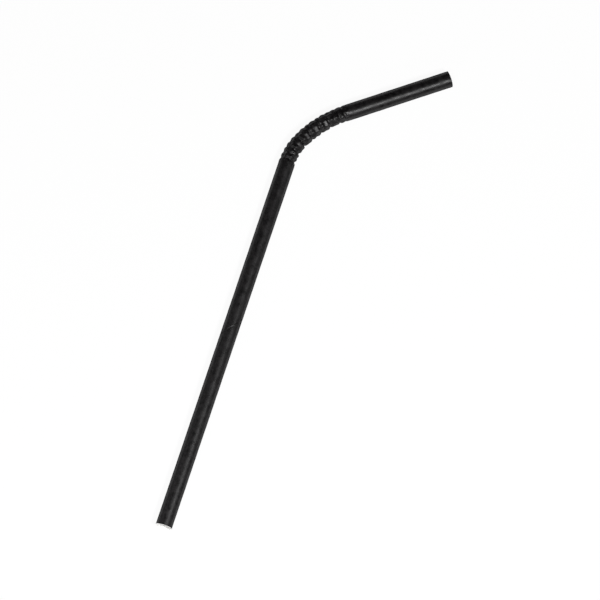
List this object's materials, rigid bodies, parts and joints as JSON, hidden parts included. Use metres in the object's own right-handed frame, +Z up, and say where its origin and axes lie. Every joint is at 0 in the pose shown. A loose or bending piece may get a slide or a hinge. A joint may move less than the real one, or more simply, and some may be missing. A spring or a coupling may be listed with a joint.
{
  "type": "bendy paper straw",
  "caption": "Slim round paper drinking straw with a long straight leg, a crimped bendy neck set at an angle, and a short mouth leg.",
  "frame": {"origin": "on the surface the straw lies on, below the middle of its bounding box", "axes": "+Y along the long foot leg, from its open end towards the neck; +X the side the neck bends to; +Z up from the surface it lies on"},
  "size_m": [0.0508, 0.192, 0.006],
  "materials": {
    "paper": "satin"
  },
  "bodies": {
    "root": {"straw": "paper"}
  },
  "joints": []
}
